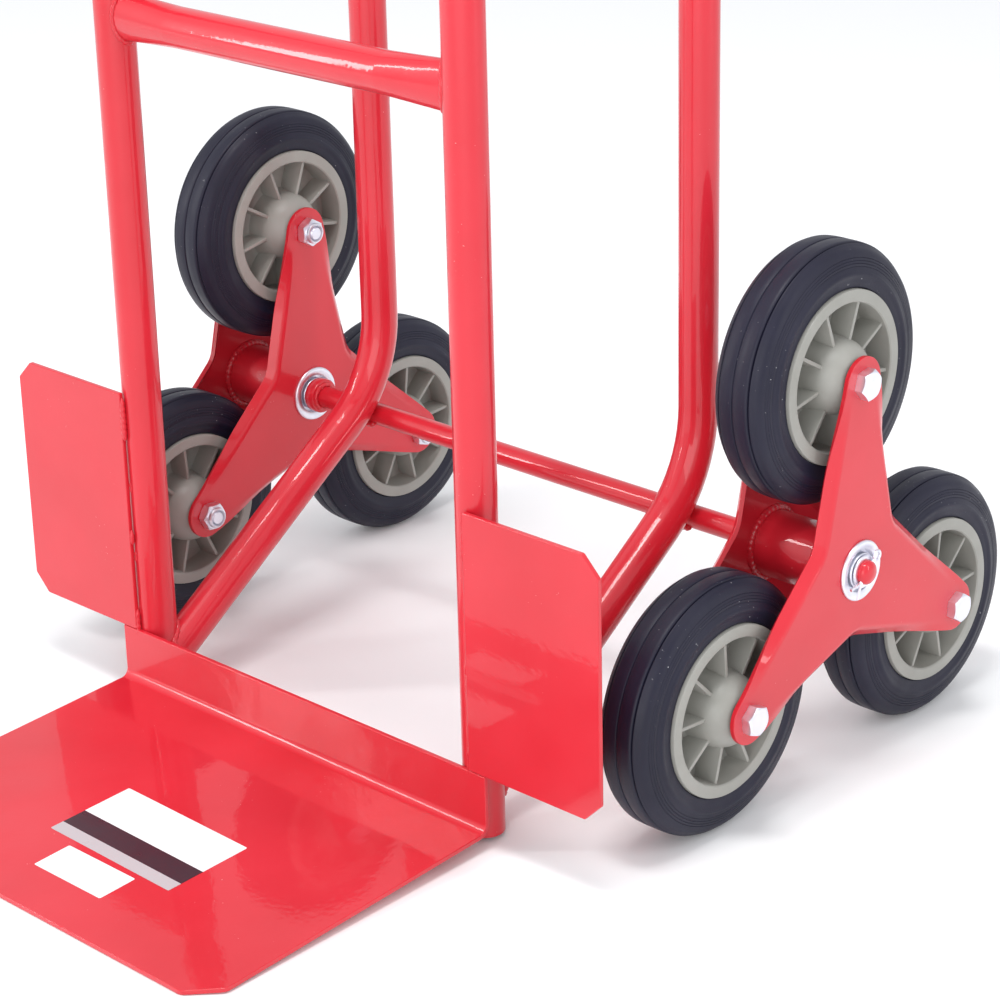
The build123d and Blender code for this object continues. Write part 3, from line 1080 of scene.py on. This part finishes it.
def makeGrip(shape):
    # Local z runs from the grip's open end to its closed end.
    wide, deep, long = shape["radius"], shape["ridgeDepth"], shape["length"]
    bore, edge = shape["bore"], shape["collar"] - shape["collarEdge"]
    points = [(0.0, long - shape["wall"]), (bore, long - shape["wall"]), (bore, 0.0)]
    points += [(wide - inward, along) for inward, along in shape["openEnd"]]
    points.append((wide, edge))
    pitch = (long - 2 * shape["collar"]) / shape["ridges"]
    for i in range(shape["ridges"]):
        start = shape["collar"] + i * pitch
        for share, drop in shape["ridge"]:
            points.append((wide - deep * drop, start + pitch * share))
    points.append((wide, long - edge))
    points += [(wide - inward, long - along) for inward, along in shape["shutEnd"]]
    points.append((0.0, long))
    bm = closeProfile(points, shape["steps"])
    # Finger hollows under the grip.
    first, last = shape["fingersFrom"], shape["fingersTo"]
    for vert in bm.verts:
        out = vert.co.to_2d()
        if vert.co.x > 0 and first < vert.co.z < last and out.length > first:
            along = 2 * math.pi * (vert.co.z - first) / shape["fingerPitch"]
            hollow = shape["fingerDepth"] * (0.5 - 0.5 * math.cos(along)) * vert.co.x / wide
            out = out.normalized() * (out.length - hollow)
            vert.co.x, vert.co.y = out.x, out.y
    return bm


gripForm = makeGrip(gripShape)
slope = math.radians(gripShape["lean"])
for sideName, side in sides.items():
    low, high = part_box("grip_" + sideName)
    along = Vector((0, math.cos(slope), math.sin(slope)))
    below = Vector((0, math.sin(slope), -math.cos(slope)))
    halfLength = gripShape["length"] / 2 * mm
    start = centreOf("grip_" + sideName) - along * halfLength
    across = along.cross(below)
    basis = Matrix((below, across, along)).transposed().to_4x4()
    spot = Matrix.Translation(start) @ basis @ toMetres
    finishPiece(
        "handGrip_" + sideName,
        gathered([(gripForm, spot)]),
        "frame",
        [finishes["gripRubber"]],
        ["grip_" + sideName],
    )
stageDone("grips")


beadShape = {
    "radius": 0.0020,
    "step": 0.0012,
    "ripple": 0.16,
    "rippleTurn": 0.62,
    "wander": 0.25,
    "wanderScale": 90,
    "endShare": 0.45,
    "endGrowth": 0.25,
    "sides": 9,
}


def makeBead(path, closed, size=1.0, seed=0.0):
    # A weld: a rope of metal with small ripples and a wandering width.
    points = [Vector(p) for p in path]
    if closed:
        points.append(points[0])
    stations = []
    for first, second in zip(points, points[1:]):
        count = max(1, round((second - first).length / beadShape["step"]))
        stations += [first.lerp(second, i / count) for i in range(count)]
    if not closed:
        stations.append(points[-1])
    radii = []
    for i, spot in enumerate(stations):
        wide = beadShape["radius"] * size
        wide *= 1 + beadShape["ripple"] * math.cos(i * math.pi * beadShape["rippleTurn"])
        drift = noise.noise(spot * beadShape["wanderScale"] + Vector((seed, 0, 0)))
        wide *= 1 + beadShape["wander"] * drift
        if not closed:
            edge = min(i, len(stations) - 1 - i)
            wide *= min(1.0, beadShape["endShare"] + beadShape["endGrowth"] * edge)
        radii.append(wide)
    return ringsAlong(stations, radii, closed, beadShape["sides"])


def joinedBeads(name, beads, body):
    shapes = [(bead, Matrix.Identity(4)) for bead in beads]
    return finishPiece(name, gathered(shapes), body, [redPaint], sharp=60)


def aroundTube(x, y, bar, z, hand, turns=26):
    # Round a bar's flat end, on the surface of the upright that it meets.
    path = []
    for i in range(turns):
        a = 2 * math.pi * i / turns
        off = bar["halfDepth"] * math.cos(a)
        rise = z + bar["halfHeight"] * math.sin(a)
        path.append((x - hand * math.sqrt(tubeRadius**2 - off**2), y + off, rise))
    return path


crossbarWelds = {"halfDepth": 0.0088, "halfHeight": 0.0160, "size": 0.85}
crossbarBeads = []
for level, place in enumerate(("lower", "middle", "upper")):
    height = centreOf("crossbar_" + place).z
    for hand in (-1, 1):
        path = aroundTube(hand * uprightX, uprightY, crossbarWelds, height, hand)
        bead = makeBead(path, True, crossbarWelds["size"], level * 3 + hand)
        crossbarBeads.append(bead)
joinedBeads("crossbarWelds", crossbarBeads, "frame")


rearTubeWelds = {
    "slope": 34.6,
    "joints": ((0.166, 1), (0.800, -1)),  # height, and up or down from there
    "points": 30,
    "outward": 0.0003,
    "backward": 0.0004,
}


def rearTubePath(hand, rising, foot):
    # Where the sloping rear tube meets the back of the upright.
    slopeAngle = math.radians(rearTubeWelds["slope"])
    along = Vector((0, math.cos(slopeAngle), rising * math.sin(slopeAngle)))
    side = Vector((1, 0, 0))
    over = along.cross(side)
    ring = tubeRadius + rearTubeWelds["outward"]
    path = []
    for i in range(rearTubeWelds["points"]):
        a = 2 * math.pi * i / rearTubeWelds["points"]
        spot = foot + (side * math.cos(a) + over * math.sin(a)) * ring
        gap = min(tubeRadius, abs(spot.x - hand * uprightX))
        back = uprightY + math.sqrt(tubeRadius**2 - gap**2) + rearTubeWelds["backward"]
        spot += along * ((back - spot.y) / along.y)
        path.append(spot)
    return path


rearDrop = (rearY - uprightY) * math.tan(math.radians(rearTubeWelds["slope"]))
rearBeads = []
for hand in (-1, 1):
    for level, rising in rearTubeWelds["joints"]:
        foot = Vector((hand * rearX, uprightY, level - rising * rearDrop))
        rearBeads.append(makeBead(rearTubePath(hand, rising, foot), True, 1.0, hand + level))
joinedBeads("rearTubeWelds", rearBeads, "frame")

plateWelds = {
    "marks": (0.062, 0.100, 0.148, 0.196),
    "markLength": 0.011,
    "outside": 0.0025,  # from the upright's middle
    "markBack": 0.0012,
    "filletBack": 0.0016,
    "toeForward": 0.0003,
    "fillets": ((0.003, 0.032), (0.094, 0.104), (0.150, 0.170)),  # down from the plate's top
    "toeShift": 0.0068,
    "toeHeights": (0.018, 0.030, 0.046),
    "sizes": {"mark": 0.75, "fillet": 0.8, "toe": 0.9},
}
plateBeads = []
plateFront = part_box("side_plate_right")[0].y
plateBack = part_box("side_plate_right")[1].y
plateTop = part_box("side_plate_right")[1].z
for hand in (-1, 1):
    for i, z in enumerate(plateWelds["marks"]):
        half = plateWelds["markLength"] / 2
        spot = (hand * (uprightX + plateWelds["outside"]), plateBack + plateWelds["markBack"])
        path = [(*spot, z - half), (*spot, z), (*spot, z + half)]
        plateBeads.append(makeBead(path, False, plateWelds["sizes"]["mark"], i + hand))
    for i, (start, end) in enumerate(plateWelds["fillets"]):
        x = hand * (uprightX + plateWelds["outside"])
        y = plateFront + plateWelds["filletBack"]
        path = [(x, y, plateTop - z) for z in (start, (start + end) / 2, end)]
        plateBeads.append(makeBead(path, False, plateWelds["sizes"]["fillet"], 7 * hand + i))
for hand in (-1, 1):
    for shift in (-1, 1):
        x = hand * uprightX + shift * plateWelds["toeShift"]
        y = uprightY - math.sqrt(tubeRadius**2 - plateWelds["toeShift"] ** 2)
        y -= plateWelds["toeForward"]
        path = [(x, y, z) for z in plateWelds["toeHeights"]]
        plateBeads.append(makeBead(path, False, plateWelds["sizes"]["toe"], shift * 2 + hand))
joinedBeads("plateWelds", plateBeads, "frame")


saddleShape = {
    "halfCount": 4,
    "step": 0.0013,
    "forward": 0.0056,
    "follow": 0.4,  # share of the tube's curve that the bead follows
    "rise": 0.0058,
    "size": 1.25,
}


def axleSaddle(hand):
    # Above and below the line where the axle rests against the rear tube's bend.
    beads = []
    for shift in (-1, 1):
        path = []
        for i in range(-saddleShape["halfCount"], saddleShape["halfCount"] + 1):
            across = i * saddleShape["step"]
            away = tubeRadius - math.sqrt(tubeRadius**2 - across**2)
            y = axleSpot.y - saddleShape["forward"] - saddleShape["follow"] * away
            path.append((hand * rearX + across, y, axleSpot.z + shift * saddleShape["rise"]))
        beads.append(makeBead(path, False, saddleShape["size"], shift + hand * 5))
    return beads


joinedBeads("axleWelds", axleSaddle(-1) + axleSaddle(1), "frame")


def ringPath(spot, radius, height, count=40):
    path = []
    for i in range(count):
        a = 2 * math.pi * i / count
        path.append(spot @ Vector((radius * math.cos(a), radius * math.sin(a), height)))
    return path


hubWelds = {"radius": 21.7, "height": 31.4, "size": 1.25}
collarWelds = {"radius": 8.6, "height": -4.4, "size": 0.8}
for sideName, side in sides.items():
    spot = outwards(side, centreOf("hub_tube_" + sideName))
    beads = []
    for end in (-1, 1):
        path = ringPath(spot, hubWelds["radius"], end * hubWelds["height"])
        beads.append(makeBead(path, True, hubWelds["size"], end + side))
    joinedBeads("hubWelds_" + sideName, beads, "star_" + sideName)
    inner = outwards(side, centreOf("axle_collar_" + sideName))
    path = ringPath(inner, collarWelds["radius"], collarWelds["height"])
    bead = makeBead(path, True, collarWelds["size"], side)
    joinedBeads("collarWeld_" + sideName, [bead], "frame")
stageDone("welds")


labelShape = {
    "large": {"centre": (8.5, -144.0), "size": (110.0, 60.0), "turn": -1.2},
    "small": {"centre": (8.0, -192.0), "size": (60.0, 26.5), "turn": 0.0},
    "thickness": 0.10,
    "lift": 0.03,
    "cornerRound": 1.0,
}
labelLook = {
    "white": (0.86, 0.86, 0.88),
    "band": (0.030, 0.012, 0.022),
    "strip": (0.48, 0.45, 0.47),
    "bandFrom": -0.0205,
    "bandTo": -0.0040,
    "bandBlur": 0.0001,
    "clouds": ((60.0, 3.0), (0.3, 0.7, 0.0, 0.10)),
    "shine": ((90.0, 2.0), (0.3, 0.7, 0.26, 0.38)),
}


def makeLabelPaper(name, look, centre, turn, withBand):
    material, tree, shader, place = startMaterial(name)
    mapping = tree.nodes.new("ShaderNodeMapping")
    mapping.vector_type = "TEXTURE"
    mapping.inputs["Location"].default_value = centre
    mapping.inputs["Rotation"].default_value = (0, 0, math.radians(turn))
    tree.links.new(place, mapping.inputs["Vector"])
    split = tree.nodes.new("ShaderNodeSeparateXYZ")
    tree.links.new(mapping.outputs["Vector"], split.inputs["Vector"])
    clouds, shine = (
        ranged(tree, noiseOf(tree, place, *look[part][0]), *look[part][1])
        for part in ("clouds", "shine")
    )
    color = mixed(tree, clouds, look["white"], look["strip"])
    if withBand:
        for level, below in (("bandTo", "band"), ("bandFrom", "strip")):
            start = look[level]
            share = ranged(tree, split.outputs["Y"], start, start - look["bandBlur"])
            color = mixed(tree, share, color, look[below])
    tree.links.new(color, shader.inputs["Base Color"])
    tree.links.new(shine, shader.inputs["Roughness"])
    return material


def makeLabel(which):
    shape = labelShape[which]
    low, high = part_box("toe_plate")
    rise = toeShape["backRise"] * mm / (high.y - low.y)
    x, y = shape["centre"][0] * mm, uprightY + shape["centre"][1] * mm
    bm = bmesh.new()
    bmesh.ops.create_grid(bm, x_segments=1, y_segments=1, size=0.5)
    bmesh.ops.scale(bm, verts=bm.verts, vec=(shape["size"][0], shape["size"][1], 1))
    roundOff(bm, bm.verts[:], labelShape["cornerRound"], 4)
    made = bmesh.ops.extrude_face_region(bm, geom=bm.faces[:])
    bmesh.ops.translate(bm, verts=madeVerts(made), vec=(0, 0, labelShape["thickness"]))
    spot = Matrix.Translation((x, y, 0)) @ turned(shape["turn"]) @ toMetres
    bmesh.ops.transform(bm, matrix=spot, verts=bm.verts)
    for vert in bm.verts:
        vert.co.z += (toeShape["thickness"] + labelShape["lift"]) * mm
        vert.co.z += rise * (vert.co.y - low.y)
    paper = makeLabelPaper(
        "labelPaper_" + which, labelLook, (x, y, 0), shape["turn"], which == "large"
    )
    return finishPiece("blankLabel_" + which, bm, "frame", [paper])


makeLabel("large")
makeLabel("small")
stageDone("labels")


keptFinishes = {"wheel_sleeves": brightZinc}
for name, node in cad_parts.items():
    if not node.hide_render:
        finish = keptFinishes.get(name.rsplit("_", 1)[0], redPaint)
        for socket in node.material_slots:
            socket.material = finish
